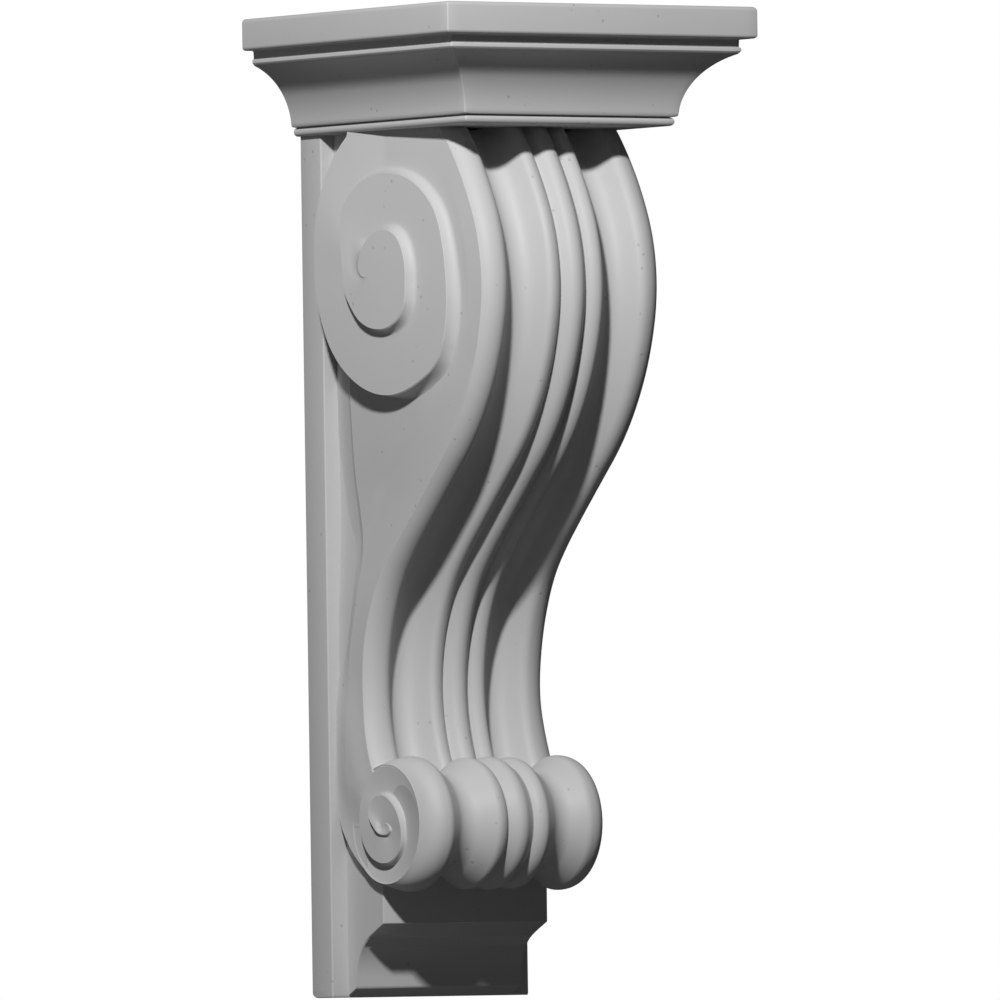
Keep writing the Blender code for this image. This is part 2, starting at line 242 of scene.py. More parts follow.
# %% The row of lobes
def level_arc(crest, radius, angle, side, count, sign):
    """An arc that starts level at a crest or valley and turns by the angle towards one side."""
    turn = np.radians(np.linspace(0.0, angle, count))
    across = crest[0] + side * radius * np.sin(turn)
    return np.stack([across, crest[1] - sign * radius * (1 - np.cos(turn))], -1)


def slope_between(high, high_radius, low, low_radius, count):
    """An arc that is level at the high point and one level at the low point, with a common tangent."""
    run, fall = abs(low[0] - high[0]), high[1] - low[1]
    both = high_radius + low_radius
    steepest = math.asin(min(1.0, both / math.hypot(run, both - fall)))
    angle = math.degrees(steepest - math.atan2(both - fall, run))
    side = 1 if low[0] > high[0] else -1
    top = level_arc(high, high_radius, angle, side, count, 1)
    foot = level_arc(low, low_radius, angle, -side, count, -1)[::-1]
    middle = top[-1] + (foot[0] - top[-1]) * np.linspace(0.0, 1.0, 5)[1:-1, None]
    return np.concatenate([top, middle, foot])


CREST = 48.1
LOBE_PLACES = (CREST, 30.8, 14.6, 8.6, 0.0)
BRACKET_RISES = (4.9, -8.3, 7.1, 3.3, 9.2)
ROLL_ROUND = 6.5
VALLEY_ROUND = 9.5
BEAD_ROUND = 4.5
GROOVE_ROUND = 1.6
REED_ROUND = 6.5


def crown(high, low, side, count):
    """The arc that is level at the high point and passes through the low one, read from the high point."""
    run, fall = abs(high[0] - low[0]), high[1] - low[1]
    radius = (run ** 2 + fall ** 2) / (2 * fall)
    return level_arc(high, radius, math.degrees(math.asin(min(1.0, run / radius))), side, count, 1)


def lobe_row(half, rises):
    """(place across, rise above the arris) from one arris to the other."""
    roll, valley, narrow, groove, reed = zip(LOBE_PLACES, rises)
    outer = crown(roll, (half, 0.0), 1, 10)[::-1]
    inner = slope_between(roll, ROLL_ROUND, valley, VALLEY_ROUND, 9)[1:]
    rise = slope_between(narrow, BEAD_ROUND, valley, VALLEY_ROUND, 8)[::-1][1:]
    dip = crown(narrow, groove, -1, 7)[1:]
    reed_side = slope_between(reed, REED_ROUND, groove, GROOVE_ROUND, 7)[::-1][1:]
    right = np.concatenate([outer, inner, rise, dip, reed_side])
    return np.concatenate([right * np.array([-1.0, 1.0]), right[::-1][1:]])


FULL_HALF = 58.2
lobes = lobe_row(FULL_HALF, BRACKET_RISES)
print("lobes:", len(lobes), "points across")


# %% The S-shaped line of the front arris
# Each bend is a radius and the degrees it turns, positive towards the wall; radius 0 is a straight length
ARRIS_TOP = 480.0
ARRIS_START = (124.8, ARRIS_TOP)
ARRIS_HEADING = 43.5
ARRIS_SPACING = 1.3
ARRIS_BENDS = ((177.0, 20.4), (98.0, 34.7), (148.0, 34.0), (0.0, 55.8), (232.0, -5.4), (90.0, -14.6),
               (111.0, -52.0), (12.0, 50.0), (0.0, 6.0))


def s_line(start, heading, bends, spacing):
    """Arcs and straight lengths joined end to end, as rows of (depth, height, heading from straight down)."""
    lines = [np.array([[start[0], start[1], heading]])]
    for radius, amount in bends:
        depth, height, turn = lines[-1][-1]
        length = amount if radius == 0.0 else radius * abs(math.radians(amount))
        share = np.linspace(0.0, 1.0, max(3, round(length / spacing)) + 1)[1:]
        if radius == 0.0:
            lines.append(np.stack([depth + amount * share * math.sin(turn),
                                   height - amount * share * math.cos(turn), np.full_like(share, turn)], -1))
            continue
        side = math.copysign(1.0, amount)
        turned = turn - math.radians(amount) * share
        lines.append(np.stack([depth + side * radius * (np.cos(turned) - math.cos(turn)),
                               height - side * radius * (math.sin(turn) - np.sin(turned)), turned], -1))
    return np.concatenate(lines)


arris = s_line(ARRIS_START, math.radians(ARRIS_HEADING), ARRIS_BENDS, ARRIS_SPACING)
print("arris:", len(arris), "stations, to depth %.1f height %.1f" % tuple(arris[-1, :2]))


# %% [markdown]
# The body isn't quite as wide everywhere: it swells a little into the lower scroll and is slimmest at
# the waist. The outer shoulders of the row of lobes are stretched so that the arris keeps to that half
# width. The row could also follow a curve object, but then its width and its bends couldn't change
# apart.

# %% The bracket
half_at = curve(((120, 60.2), (140, 59.8), (162, 58.8), (194, 59.0), (216, 58.6), (243, 57.2), (265, 56.5),
                 (297, 56.8), (350, 57.4), (430, 57.8), (480, 58.1)))


def arris_depth(height):
    """Depth of the front arris where it passes a height."""
    return np.interp(height, arris[::-1, 1], arris[::-1, 0])


SIDE_INSET = 1.3
ROOT_DEPTH = 10.0


def bracket_piece():
    """At each station the row of lobes stands square to the S line; flat sides run back into the plate."""
    across, rise = lobes[:, 0][None, :], lobes[:, 1][None, :]
    depth, height, heading = (arris[:, i][:, None] for i in range(3))
    half = half_at(height)
    shoulder = np.maximum(np.abs(across) - CREST, 0.0)
    across = across + np.sign(across) * shoulder * (half - FULL_HALF) / (FULL_HALF - CREST)
    front = np.stack(np.broadcast_arrays(across, depth + rise * np.cos(heading),
                                         height + rise * np.sin(heading)), -1)
    side = half - SIDE_INSET
    behind = np.stack([side, depth - SIDE_INSET * np.cos(heading), height - SIDE_INSET * np.sin(heading)], -1)
    root = np.stack(np.broadcast_arrays(side, np.array([[ROOT_DEPTH]]), height), -1)
    mirror = np.array([-1.0, 1.0, 1.0])
    points = np.concatenate([root * mirror, behind * mirror, front, behind, root], axis=1)
    rows, columns = points.shape[:2]
    return mesh_piece("bracket", points, grid_faces(rows, columns, wrap=True), end_caps(rows, columns))


bracket = soft_shading(bracket_piece(), 40.0)


# %% The lower scroll
ROLL_AXIS, ROLL_RADIUS = (68.3, 94.9), 32.8
ROLL_HALF = 60.0
ROLL_RISES = (4.4, -5.2, 3.4, -0.2, 3.8)
SUNK_END = (59.2, -1.6)
SHOULDER_FORWARD = 7.5
MIDDLE_FORWARD = 3.5


def turned_roll():
    """
    The row of lobes is a radius against place across. Every point goes round a level axis, which moves
    forward along a quarter ellipse from each end to the crest and along a shallow bow between the crests.
    """
    sunk = np.array(SUNK_END)
    row = np.concatenate([[sunk * np.array([-1.0, 1.0])], lobe_row(ROLL_HALF, ROLL_RISES), [sunk]])
    out = np.abs(row[:, 0])
    shoulder = np.clip((out - CREST) / (SUNK_END[0] - CREST), 0.0, 1.0)
    forward = SHOULDER_FORWARD * np.sqrt(1 - shoulder ** 2)
    forward = forward + MIDDLE_FORWARD * np.clip(1 - (out / CREST) ** 2, 0.0, 1.0)
    turn = np.radians(np.linspace(0.0, 360.0, 145))[:-1, None]
    radius = ROLL_RADIUS + row[:, 1][None, :]
    points = np.stack(np.broadcast_arrays(row[:, 0][None, :], ROLL_AXIS[0] + forward + radius * np.cos(turn),
                                          ROLL_AXIS[1] + radius * np.sin(turn)), -1)
    points = np.swapaxes(points, 0, 1)
    rows, columns = points.shape[:2]
    return mesh_piece("lower_scroll", points, grid_faces(rows, columns, wrap=True), end_caps(rows, columns))


lower_scroll = soft_shading(turned_roll(), 40.0)

# %% [markdown]
# The foot block closes the corbel below: an upright face, an arris, and a cove that draws in to a narrow
# shank. Its top runs up inside the lower scroll, so that nothing is left open behind the roll. It is a
# flat outline carried across, as a length of moulding cut to size would be.

# %% The foot block
BLOCK_HALF = 54.5
BLOCK_EASE = 0.7
BLOCK_BACK = 10.0
BLOCK_TOP = 111.0
BLOCK_FRONT = 56.2
BLOCK_ARRIS = 41.0
BLOCK_MIDDLE = (30.0, 40.0)
SHANK_DEPTH = 29.2
SHANK_COVE = 26.0


def block_piece():
    """A flat outline of (depth, height) carried across, with its end edges eased by a smaller first ring."""
    outline = np.concatenate([
        [(BLOCK_BACK, BLOCK_TOP), (BLOCK_FRONT, BLOCK_TOP)],
        arc((BLOCK_FRONT - 0.8, BLOCK_ARRIS), 0.8, 0.0, -52.0, 4), [(43.6, 34.2)],
        arc((SHANK_DEPTH + SHANK_COVE, 10.8), SHANK_COVE, 117.0, 180.0, 22), [(SHANK_DEPTH, 6.4)],
        arc((SHANK_DEPTH - 2.0, 6.2), 2.0, 0.0, -80.0, 5), [(20.0, 0.6), (BLOCK_BACK, 0.6)]])
    middle = np.array(BLOCK_MIDDLE)
    away = middle - outline
    inward = outline + away / np.linalg.norm(away, axis=1)[:, None] * BLOCK_EASE
    rings = ((-BLOCK_HALF, inward), (-BLOCK_HALF + BLOCK_EASE, outline),
             (BLOCK_HALF - BLOCK_EASE, outline), (BLOCK_HALF, inward))
    points = np.stack([np.column_stack([np.full(len(line), x), line]) for x, line in rings])
    rows, columns = points.shape[:2]
    return mesh_piece("foot_block", points, grid_faces(rows, columns, wrap=True), end_caps(rows, columns))


block = soft_shading(block_piece(), 40.0)

# %% [markdown]
# Each side of the body is a nearly flat cheek. A band follows the arris and leans a little outwards to
# the back. Behind a soft line the web stands slightly proud of the band, and behind a small ridge the
# cheek falls away to the plate. Low down the cheek flares out to meet the lower scroll. It could be
# sculpted by hand, but with one curve for each line, a line can be moved without touching the others.

# %% Lines on the cheek
# Every table runs up the corbel by height. The soft line, the ridge and the back line give a depth, the strip
# beside the plate gives a level, and the band's lean is a slope.
CURL = (68.0, 93.5)
soft_line = curve(((200, 45), (238, 45), (249, 47), (260, 53.6), (270, 63.8), (284, 74.1), (297, 89.3),
                   (313, 107.5), (333, 122.6), (345, 132), (360, 146), (400, 154), (430, 146), (460, 130),
                   (480, 114)))
ridge_line = curve(((90, 34), (140, 30.5), (162, 31), (190, 33), (220, 39), (248, 44), (265, 43), (282, 40),
                    (310, 38.6), (480, 38.6)))
strip_level = curve(((90, 60.4), (150, 60.2), (162, 59.9), (175, 58.2), (189, 55.9), (205, 54.7), (248, 54.2),
                     (282, 54.7), (310, 55.8), (480, 56.0)))
cheek_back = curve(((90, 30), (97, 25.5), (104, 23.4), (112, 21.4), (125, 19.5), (140, 19), (480, 19)))
band_lean = curve(((90, 0.0), (120, 0.008), (289, 0.009), (311, 0.035), (328, 0.05), (383, 0.056),
                   (405, 0.098), (480, 0.098)))


# %% The cheek
WEB_PROUD = 0.8
WEB_STARTS, WEB_ENDS = (244.0, 268.0), (350.0, 362.0)
SOFT_LINE_FOOT = 246.0
SOFT_WIDTH, SOFT_WIDTH_LOW = 5.0, 9.0
FLARE = 1.2
FLARE_ENDS = (150.0, 200.0)
FLARE_WIDTH = 18.0
RIDGE_STEP = 0.3
RIDGE_STARTS = (225.0, 255.0)
RIDGE_EASE = 0.4


def cheek_level(depth, height):
    """Half width + lean times the way back from the arris, level past the soft line, lower past the ridge."""
    soft, ridge = soft_line(height), ridge_line(height)
    stop = np.where(height < SOFT_LINE_FOOT, ridge, np.maximum(soft, ridge))
    level = half_at(height) + band_lean(height) * (arris_depth(height) - np.maximum(depth, stop))
    proud = WEB_PROUD * ramp(height, *WEB_STARTS) * (1 - ramp(height, *WEB_ENDS))
    soft_width = SOFT_WIDTH + SOFT_WIDTH_LOW * ramp(-height, -330.0, -280.0)
    level = level + proud * ramp(soft - depth, 0.0, soft_width)
    flare = FLARE * (1 - ramp(height, *FLARE_ENDS)) * ramp(arris_depth(height) - depth, 0.0, FLARE_WIDTH)
    edge = level + flare - RIDGE_STEP * ramp(height, *RIDGE_STARTS)
    share = np.clip((ridge - depth) / (ridge - PLATE_DEPTH), 0.0, 1.2)
    behind = edge + (strip_level(height) - edge) * share
    return np.where(depth < ridge - RIDGE_EASE, behind, level + flare)


# %% The cheek's piece
INSIDE = 45.0
CHEEK_FOOT, CHEEK_TOP, CHEEK_ROW = 94.0, 479.0, 1.5
CHEEK_SETBACK = 0.25
CHEEK_ROUND = 0.45
PAST_RIDGE = 0.41
UNDER_CURL = 1.6


def cheek_piece(name, flip):
    """
    A grid of level rows. Its columns keep to the back line, the ridge, the soft line and the arris, and the
    first three stay at least 20, 8 and 3 mm behind the arris. Behind the curl it sinks under the curl.
    """
    height = np.arange(CHEEK_FOOT, CHEEK_TOP, CHEEK_ROW)
    front = arris_depth(height) - CHEEK_SETBACK
    back = np.minimum(cheek_back(height), front - 20.0)
    ridge = np.minimum(ridge_line(height), front - 8.0)
    soft = np.where(height > 240.0, soft_line(height), 0.0)
    soft = np.clip(soft, ridge + 0.3 * (front - ridge), front - 3.0)
    lines = [back[:, None] + (ridge - PAST_RIDGE - back)[:, None] * np.linspace(0.0, 1.0, 8),
             ridge[:, None] + (soft - ridge)[:, None] * np.linspace(0.0, 1.0, 15),
             soft[:, None] + (front - CHEEK_ROUND - soft)[:, None] * np.linspace(0.0, 1.0, 12)[1:]]
    depth = np.concatenate(lines, axis=1)
    level = cheek_level(depth, height[:, None])
    turned = np.degrees(np.arctan2(height[:, None] - CURL[1], depth - CURL[0]))
    level = level - UNDER_CURL * ramp(turned, 138.0, 162.0) * (1 - ramp(height[:, None], 150.0, 175.0))
    eased = np.radians(np.array([30.0, 60.0, 90.0]))
    rim_depth = (front - CHEEK_ROUND)[:, None] + CHEEK_ROUND * np.sin(eased)
    rim_level = level[:, -1:] - CHEEK_ROUND * (1 - np.cos(eased))
    inside = np.full((len(height), 1), INSIDE)
    depth = np.concatenate([back[:, None], depth, rim_depth, front[:, None]], axis=1)
    level = np.concatenate([inside, level, rim_level, inside], axis=1)
    points = np.stack(np.broadcast_arrays(level, depth, height[:, None]), -1)
    rows, columns = points.shape[:2]
    return mesh_piece(name, points, grid_faces(rows, columns, wrap=True), end_caps(rows, columns), flip=flip)


left_cheek, right_cheek = both_sides("cheek", cheek_piece, 35.0)

# %% [markdown]
# Each scroll on a side is one ribbon that winds inwards like a snail's shell. The upper one starts as
# the band along the arris, runs up under the cap, comes down behind as the broad coil, and winds on to
# the eye. Where a turn passes the one outside it, it stands a step higher, and the step has a small
# cove: crisp above and soft below. A bevelled curve would keep one section all the way, and here the
# step grows and fades.

# %% A ribbon that winds inwards
STEP = 2.0
COVE_SHARE = 0.7
COVE_LIMIT = 9.0
COVE_SWEEP = 0.4 * math.pi
RIM_ROUND = 0.45
BACK_ROUND = 0.6
POLE = 0.8
RIBBON_WELD = 0.005


def ribbon(name, flip, centre, turns, edge, face, ground, opening):
    """Rows at each angle: a wall or cove up to the edge, an eased edge, then the face in to the next cove."""
    first, last = turns
    angle = np.arange(first, last, STEP)
    outer = angle < first + 360.0

    def place(at, reach):
        return centre[0] + reach * np.cos(np.radians(at)), centre[1] + reach * np.sin(np.radians(at))

    def under(at, reach):
        """The surface that the wall of a turn stands on."""
        spot = place(at, reach)
        return np.where(at < first + 360.0, ground(at, *spot), face(at - 360.0, *spot))

    def spread(at):
        """How far the cove reaches out from the edge: its share of the step, as far as it is open."""
        stands = face(at, *place(at, edge(at))) - under(at, edge(at))
        return np.clip(stands * COVE_SHARE, 0.0, COVE_LIMIT) * opening(at)

    radius, wide = edge(angle), spread(angle)
    more = angle + 360.0 < last
    next_angle = np.where(more, angle + 360.0, last)
    inner = np.where(more, edge(next_angle) + spread(next_angle), 0.0)
    sweep = np.linspace(0.0, COVE_SWEEP, 9)
    out = radius[:, None] + wide[:, None] * (1 - np.sin(sweep) / math.sin(COVE_SWEEP))
    up = (1 - np.cos(sweep)) / (1 - math.cos(COVE_SWEEP))
    at = angle[:, None]
    low, high = under(at, out), face(at, *place(at, out))
    towards_back = np.clip(-np.cos(np.radians(at)), 0.0, 1.0)
    ease = RIM_ROUND + BACK_ROUND * towards_back * ramp(radius[:, None], 12.0, 24.0)
    drop = ramp(high[:, -1:] - low[:, -1:], 0.0, 1.0) * ease
    cove_level = low + (high - drop - low) * up
    eased = np.radians(np.array([18.0, 36.0, 54.0, 72.0, 90.0]))
    rim = radius[:, None] - ease * np.sin(eased) * np.minimum(1.0, radius[:, None] / 5.0)
    rim_level = face(at, *place(at, rim)) - drop * np.cos(eased)
    start = rim[:, -1:]
    flat = np.maximum(start + (inner[:, None] - start) * np.linspace(0.0, 1.0, 14)[1:], 0.0)
    reach = np.concatenate([out[:, :1], out, rim, flat], axis=1)
    root = np.where(outer[:, None], INSIDE, low[:, :1])
    level = np.concatenate([root, cove_level, rim_level, face(at, *place(at, flat))], axis=1)
    pole = reach < POLE
    reach = np.where(pole, 0.0, reach)
    level = np.where(pole, face(np.full_like(reach, last), *place(at, np.zeros_like(reach))), level)
    points = np.stack([level, *place(at, reach)], -1)
    start_wall = points[:1].copy()
    start_wall[..., 0] = INSIDE
    points = np.concatenate([start_wall, points])
    rows, columns = points.shape[:2]
    first_turn = int(360 / STEP) + 2
    loop = [row * columns for row in range(first_turn)] + list(range(columns - 1, 0, -1))
    return mesh_piece(name, points, grid_faces(rows, columns), [loop], weld=RIBBON_WELD, flip=flip)


# %% [markdown]
# The tables below are read off the side like a template. The angle round the eye in degrees, counted on
# as the edge winds in, stands against the edge's distance from the eye, and against how far the face
# stands above the leaning plane. A plain spiral formula was not used, because a carver's scroll isn't a
# plain spiral.

# %% The upper scroll
EYE = (82.0, 397.0)
COIL_TURNS = (-52.0, 990.0)
COIL_LEAN = 0.098
coil_edge = curve(((112, 83.0), (121, 77.6), (130, 71.6), (140, 65.2), (149, 60.6), (164, 55.3), (176, 53.4),
                   (194, 53.0), (205, 53.6), (225, 57.4), (247, 62.3), (263, 65.8), (277, 68.1), (300, 70.0),
                   (311, 71.4), (316, 71.4), (322, 70.0), (342, 64.3), (357, 61.0), (372, 59.9), (392, 60.4),
                   (410, 59.1), (447, 55.0), (462, 52.8), (473, 50.6), (486, 46.6), (499, 38.0), (513, 30.6),
                   (534, 25.2), (554, 23.8), (571, 23.7), (590, 24.3), (615, 27.8), (636, 31.1), (664, 35.6),
                   (676, 36.7), (686, 36.4), (711, 33.3), (726, 32.8), (748, 32.2), (758, 31.5), (769, 29.8),
                   (791, 24.1), (808, 19.3), (827, 15.0), (850, 11.4), (880, 8.6), (920, 5.4),
                   (960, 2.4), (990, 0.0)))
coil_rise = curve(((90, 0), (115, 2.5), (140, 5), (180, 5.3), (270, 5.3), (360, 5.2), (450, 5.2), (480, 6.0),
                   (510, 7.4), (540, 8.8), (570, 9.8), (600, 10.3), (630, 10.4), (720, 10.4), (990, 10.4)))


# %% The upper scroll's edge and face
BAND_END = 112.0
TOP_IN_CAP = 83.0
UNDER_CHEEK = 0.35
ABOVE_CHEEK = 0.25
BAND_CLIMB = 0.6
BAND_WALL = 1.2
WAIST = 270.0
ARRIS_GAP = 0.1


def arris_reach(angles):
    """Distance from the eye to the arris, or to a level line inside the cap, in each direction."""
    upper = arris[arris[:, 1] > WAIST][:, :2] - EYE
    turn = np.degrees(np.arctan2(upper[:, 1], upper[:, 0]))
    order = np.argsort(turn)
    reach = np.interp(angles, turn[order], np.hypot(upper[order, 0], upper[order, 1])) - ARRIS_GAP
    ceiling = TOP_IN_CAP / np.maximum(np.sin(np.radians(angles)), 0.05)
    return np.where(np.asarray(angles) > 30.0, np.minimum(reach, ceiling), reach)


def upper_edge(at):
    """The arris along the band, then the coil's own edge."""
    return np.where(at < BAND_END, arris_reach(np.minimum(at, BAND_END)), coil_edge(np.maximum(at, BAND_END)))


def upper_face(at, depth, height):
    """Low on the band it climbs out of the cheek; above, half width + lean times the way back + the rise."""
    height = np.clip(height, 100.0, ARRIS_TOP)
    band = cheek_level(depth, height) - UNDER_CHEEK + BAND_CLIMB * ramp(at, -52.0, -22.0)
    rise = coil_rise(np.maximum(at, 90.0))
    coil = half_at(height) + COIL_LEAN * (arris_depth(height) - depth) + rise + ABOVE_CHEEK
    return band + (coil - band) * ramp(at, -5.0, 60.0)


def upper_ground(at, depth, height):
    """The band's wall goes down into the roll beside it, and the coil's wall on to the cheek."""
    return np.where(at < BAND_END, upper_face(at, depth, height) - BAND_WALL,
                    cheek_level(depth, height) - UNDER_CHEEK)


def upper_opening(at):
    """The cove is shut along the band, nearly shut behind the coil, open below it and widest near the eye."""
    behind = np.where(at < 180.0, 0.0, 0.06 + 0.94 * ramp(at, 262.0, 300.0))
    return behind * (1 + 5.0 * ramp(at, 820.0, 858.0))


left_scroll, right_scroll = both_sides("scroll", ribbon, 30.0, EYE, COIL_TURNS, upper_edge, upper_face,
                                       upper_ground, upper_opening)

# %% [markdown]
# The lower scroll ends on each side in a small curl. It is the same ribbon with its own tables: the edge
# runs in from the arris and round the roll's end, its face is a shallow dish, and the middle hooks back
# on itself.

# %% The curl at the end of the lower scroll
CURL_TURNS = (124.0, 1130.0)
curl_edge = curve(((124, 82.0), (130, 73.5), (137, 65.0), (147, 56.8), (158, 51.2), (170, 47.2), (180, 43.6),
                   (189, 40.3), (200, 37.3), (212, 34.8), (225, 33.2), (240, 32.0), (260, 31.0), (285, 30.9),
                   (315, 31.4), (360, 32.5), (405, 33.5), (450, 33.8), (463, 33.4), (475, 31.9), (491, 29.6),
                   (508, 26.4), (530, 23.4), (559, 21.3), (593, 20.3), (623, 20.2), (656, 20.9), (689, 20.3),
                   (716, 18.5), (740, 17.7), (773, 17.2), (809, 17.9), (826, 17.9), (844, 17.0), (860, 14.8),
                   (875, 10.5), (890, 6.5), (915, 4.5), (956, 3.9), (990, 4.4), (1022, 5.6), (1050, 7.6),
                   (1068, 8.6), (1090, 6.5), (1130, 0.0)))
curl_rise = curve(((124, 0), (450, 0.1), (470, 0.7), (500, 2.2), (540, 3.0), (600, 3.0), (640, 2.6),
                   (675, 2.1), (705, 2.2), (740, 2.8), (770, 3.1), (810, 3.3), (850, 3.9), (875, 4.8),
                   (900, 5.2), (940, 4.9), (975, 4.3), (1000, 3.8), (1022, 3.5), (1050, 3.2), (1075, 3.0),
                   (1100, 2.9), (1130, 2.9)))
curl_dish = curve(((124, 0.6), (180, 1.6), (225, 0.5), (270, -0.4), (315, 0.0), (360, 0.8), (405, 0.8),
                   (450, 0.5), (490, 0.2), (540, 0.3), (1130, 0.3)))


# %% The curl's face and cove
DISC_LEVEL = 59.6
MIDDLE_RISE = 3.2
ROLL_INSIDE = 50.0
CURL_ON_CHEEK = 465.0
CURL_UNDER_CHEEK, CURL_CLIMB, CURL_GROUND = 0.2, 0.4, 0.3


def near_cheek(depth, height, furthest_back):
    """The cheek's level, read no further back and no lower than the cheek reaches."""
    return cheek_level(np.maximum(depth, furthest_back), np.clip(height, CHEEK_FOOT, ARRIS_TOP))


def lower_face(at, depth, height):
    """At first it climbs out of the cheek; round the scroll a shallow dish plus the rise of the turn."""
    at = np.broadcast_to(at, np.shape(depth))
    reach = np.hypot(depth - CURL[0], height - CURL[1])
    inside = curl_edge(np.minimum(at + 360.0, CURL_TURNS[1]))
    share = np.clip((reach - inside) / np.maximum(curl_edge(at) - inside, 4.0), 0.0, 1.3)
    rise = curl_rise(at)
    rise = rise + (MIDDLE_RISE - rise) * (1 - ramp(reach, 0.0, 3.5)) * ramp(at, 700.0, 760.0)
    dish = DISC_LEVEL + rise + curl_dish(at) * share * share
    band = near_cheek(depth, height, 19.0) - CURL_UNDER_CHEEK + CURL_CLIMB * ramp(at, 124.0, 150.0)
    return band + (dish - band) * ramp(at, 135.0, 185.0)


def lower_ground(at, depth, height):
    """Inside the roll as far as the curl goes round it, and the cheek after that."""
    return np.where(at < CURL_ON_CHEEK, ROLL_INSIDE, near_cheek(depth, height, 20.0) - CURL_GROUND)


def lower_opening(at):
    """The cove is shut round the roll, opens where the edge crosses the cheek, then narrows for a while."""
    narrow = 1 - 0.45 * ramp(at, 640.0, 690.0) * (1 - ramp(at, 830.0, 860.0))
    return np.where(at < 470.0, 0.0, narrow) * ramp(at, 470.0, 484.0)


left_curl, right_curl = both_sides("curl", ribbon, 30.0, CURL, CURL_TURNS, curl_edge, lower_face,
                                   lower_ground, lower_opening)

# %% [markdown]
# The finish is a light grey primer over dense foam: almost matt, with a faint sheen, a few pits and the
# slight orange peel of a sprayed coat. Noise in the object's own space needs no unwrapping, where a
# painted picture would. A socket is wrapped so that a formula in Python builds the nodes for it.

# %% A socket that does arithmetic
class Value:
    """A socket of a node tree; sums, differences and products of it add Math nodes."""

    def __init__(self, tree, socket):
        self.tree, self.socket = tree, socket

    def node(self, kind, settings=None, inputs=None, output=0):
        """Any node, from its type, its settings, and the values or links of its sockets."""
        made = self.tree.nodes.new(kind)
        for key, value in (settings or {}).items():
            setattr(made, key, value)
        for key, value in (inputs or {}).items():
            if isinstance(value, Value):
                self.tree.links.new(value.socket, made.inputs[key])
            else:
                made.inputs[key].default_value = value
        return Value(self.tree, made.outputs[output])

    def math(self, operation, *others):
        return self.node("ShaderNodeMath", {"operation": operation}, dict(enumerate((self,) + others)))

    def __add__(self, other):
        return self.math("ADD", other)

    __radd__ = __add__

    def __mul__(self, other):
        return self.math("MULTIPLY", other)

    __rmul__ = __mul__

    def __sub__(self, other):
        return self.math("SUBTRACT", other)

    def __rsub__(self, other):
        return self.node("ShaderNodeMath", {"operation": "SUBTRACT"}, {0: other, 1: self})

    def between(self, low, high):
        """0 below low, 1 above high, smooth between them."""
        return self.node("ShaderNodeMapRange", {"interpolation_type": "SMOOTHSTEP"},
                         {"Value": self, "From Min": low, "From Max": high})


# %% The primer
PRIMER_GREY = (0.54, 0.54, 0.54, 1.0)
BLACK = (0.0, 0.0, 0.0, 1.0)
GLOSS_MIDDLE, GLOSS_CHANGE = 0.52, 0.16
TONE_CHANGE, PIT_TONE = 0.07, 0.25
PEEL_RELIEF, GRAIN_RELIEF, PIT_RELIEF = 0.25, 0.1, 0.9
BUMP_STRENGTH, BUMP_HEIGHT = 0.35, 0.3
SHEEN = 0.2


def primer():
    """Grey, a little uneven in tone and gloss, with orange peel, a fine grain, and sunk pits painted darker in
    tone.
    """
    material = bpy.data.materials.new("grey_primer")
    material.use_nodes = True
    tree = material.node_tree
    shader = tree.nodes["Principled BSDF"]
    place = Value(tree, tree.nodes.new("ShaderNodeTexCoord").outputs["Object"])

    def noise(scale, detail):
        return place.node("ShaderNodeTexNoise", None, {"Vector": place, "Scale": scale, "Detail": detail})

    cloud = noise(14.0, 4.0)
    grain = noise(900.0, 3.0)
    peel = noise(260.0, 2.0)
    cells = place.node("ShaderNodeTexVoronoi", None, {"Vector": place, "Scale": 160.0})
    chosen = noise(55.0, 1.0)
    pits = (1 - cells.between(0.06, 0.2)) * chosen.between(0.58, 0.64)
    # Pits are sunk in the bump and painted darker in tone.
    tone = 1.0 - (cloud - 0.5) * TONE_CHANGE - pits * PIT_TONE
    colour = place.node("ShaderNodeMix", {"data_type": "RGBA"}, {0: tone, 6: BLACK, 7: PRIMER_GREY}, output=2)
    tree.links.new(colour.socket, shader.inputs["Base Color"])
    tree.links.new(((cloud - 0.5) * GLOSS_CHANGE + GLOSS_MIDDLE).socket, shader.inputs["Roughness"])
    relief = peel * PEEL_RELIEF + grain * GRAIN_RELIEF - pits * PIT_RELIEF
    bump = place.node("ShaderNodeBump", None, {"Height": relief, "Strength": BUMP_STRENGTH,
                                               "Distance": BUMP_HEIGHT * MM})
    tree.links.new(bump.socket, shader.inputs["Normal"])
    shader.inputs["Specular IOR Level"].default_value = SHEEN
    return material


finish = primer()
pieces = [cap, plate, bracket, lower_scroll, block, left_cheek, right_cheek, left_scroll, right_scroll,
          left_curl, right_curl]
for piece in pieces:
    piece.data.materials.append(finish)
    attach(piece, "root")
    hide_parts("corbel")

# %% [markdown]
# The studio is plain: a dark grey floor well below the corbel, and a surround that the camera sees as
# white but that lights the corbel only dimly. A small key light from the left front and above draws the
# shadows, and a broad weak fill from the left opens them. A brighter floor or surround would wash out
# the lobes from below.

# %% Floor and surround
FLOOR_HALF, FLOOR_HEIGHT = 3.0, -0.6
FLOOR_GREY = (0.12, 0.12, 0.12, 1.0)
WHITE = (1.0, 1.0, 1.0, 1.0)
FLOOR_ROUGHNESS = 0.8
SURROUND_LIGHT = 0.04

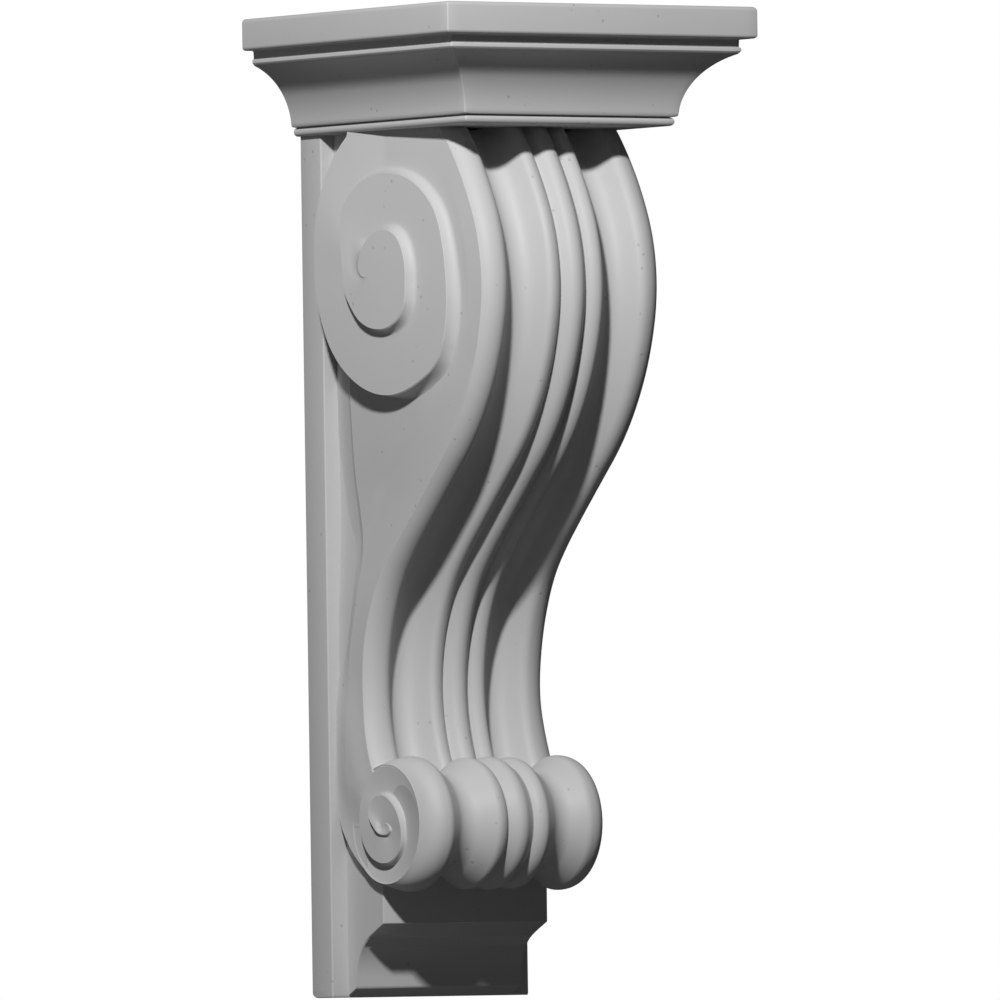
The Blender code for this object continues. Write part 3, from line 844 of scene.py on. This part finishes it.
floor_corners = [(x * FLOOR_HALF, y * FLOOR_HALF, FLOOR_HEIGHT)
                 for x, y in ((-1, -1), (1, -1), (1, 1), (-1, 1))]
floor_mesh = bpy.data.meshes.new("floor")
floor_mesh.from_pydata(floor_corners, [], [(0, 1, 2, 3)])
floor = bpy.data.objects.new("floor", floor_mesh)
bpy.context.scene.collection.objects.link(floor)
floor_paint = bpy.data.materials.new("grey_floor")
floor_paint.use_nodes = True
floor_shader = floor_paint.node_tree.nodes["Principled BSDF"]
floor_shader.inputs["Base Color"].default_value = FLOOR_GREY
floor_shader.inputs["Roughness"].default_value = FLOOR_ROUGHNESS
floor_mesh.materials.append(floor_paint)

bpy.context.scene.view_settings.view_transform = "Standard"
world = bpy.data.worlds.new("surround")
bpy.context.scene.world = world
world.use_nodes = True
nodes, links = world.node_tree.nodes, world.node_tree.links
nodes["Background"].inputs["Color"].default_value = WHITE
seen = nodes.new("ShaderNodeLightPath")
strength = nodes.new("ShaderNodeMapRange")
strength.inputs["To Min"].default_value = SURROUND_LIGHT
strength.inputs["To Max"].default_value = 1.0
links.new(seen.outputs["Is Camera Ray"], strength.inputs["Value"])
links.new(strength.outputs["Result"], nodes["Background"].inputs["Strength"])


# %% Lights
LIGHT_TARGET = (0.0, -0.1, 0.0)
KEY_SIDE, KEY_REACH, KEY_LIFT = math.radians(40.5), 1.75, 1.07
KEY_SIZE, KEY_WATTS = 0.15, 38.0
FILL_PLACE, FILL_SIZE, FILL_WATTS = (-2.5, 0.3, 0.2), 1.2, 2.0


def area_light(name, shape, size, watts, place):
    """An area light at a place, with its beam turned to the target."""
    light = bpy.data.lights.new(name, "AREA")
    light.shape = shape
    light.size = size
    light.energy = watts
    lamp = bpy.data.objects.new(name, light)
    lamp.location = place
    beam = np.array(LIGHT_TARGET) - np.array(place)
    pitch = math.atan2(math.hypot(beam[0], beam[1]), -beam[2])
    lamp.rotation_euler = (pitch, 0.0, math.atan2(-beam[0], beam[1]))
    bpy.context.scene.collection.objects.link(lamp)


key_place = (-KEY_REACH * math.sin(KEY_SIDE), -KEY_REACH * math.cos(KEY_SIDE), KEY_LIFT)
area_light("key", "DISK", KEY_SIZE, KEY_WATTS, key_place)
area_light("fill", "SQUARE", FILL_SIZE, FILL_WATTS, FILL_PLACE)

# %% [markdown]
# The camera stands where the photographer stood: far away, to the left and about level with the foot.
# Its turn, rise and roll were fitted to the corners of the cap and the edges of the plate. A far camera
# with a long lens keeps the upright edges parallel.

# %% The camera
TURN, RISE_OF_VIEW, ROLL = 0.5923, -0.024, -0.0145
DISTANCE, VIEW_TARGET = 10.205, (0.0, -0.081, 0.0)
LENS_PIXELS, PHOTO_PIXELS, SENSOR_WIDTH = 18545.0, 1000.0, 36.0
SHIFT_RIGHT, SHIFT_UP = 0.0149, 0.00495

out = np.array([-math.sin(TURN) * math.cos(RISE_OF_VIEW), -math.cos(TURN) * math.cos(RISE_OF_VIEW),
                math.sin(RISE_OF_VIEW)])
level = np.array([math.cos(TURN), -math.sin(TURN), 0.0])
upright = np.cross(out, level)
right_way = math.cos(ROLL) * level + math.sin(ROLL) * upright
up_way = -math.sin(ROLL) * level + math.cos(ROLL) * upright
stand = np.array(VIEW_TARGET) + out * DISTANCE
camera = bpy.data.cameras.new("camera")
camera.lens = LENS_PIXELS / PHOTO_PIXELS * SENSOR_WIDTH
camera.sensor_width = SENSOR_WIDTH
camera.shift_x = SHIFT_RIGHT
camera.shift_y = SHIFT_UP
camera.clip_end = 100.0
view = bpy.data.objects.new("camera", camera)
axes = np.column_stack([right_way, up_way, out, stand])
view.matrix_world = Matrix(axes.tolist() + [[0.0, 0.0, 0.0, 1.0]])
bpy.context.scene.collection.objects.link(view)
bpy.context.scene.camera = view
print("camera at", [round(v, 3) for v in stand])
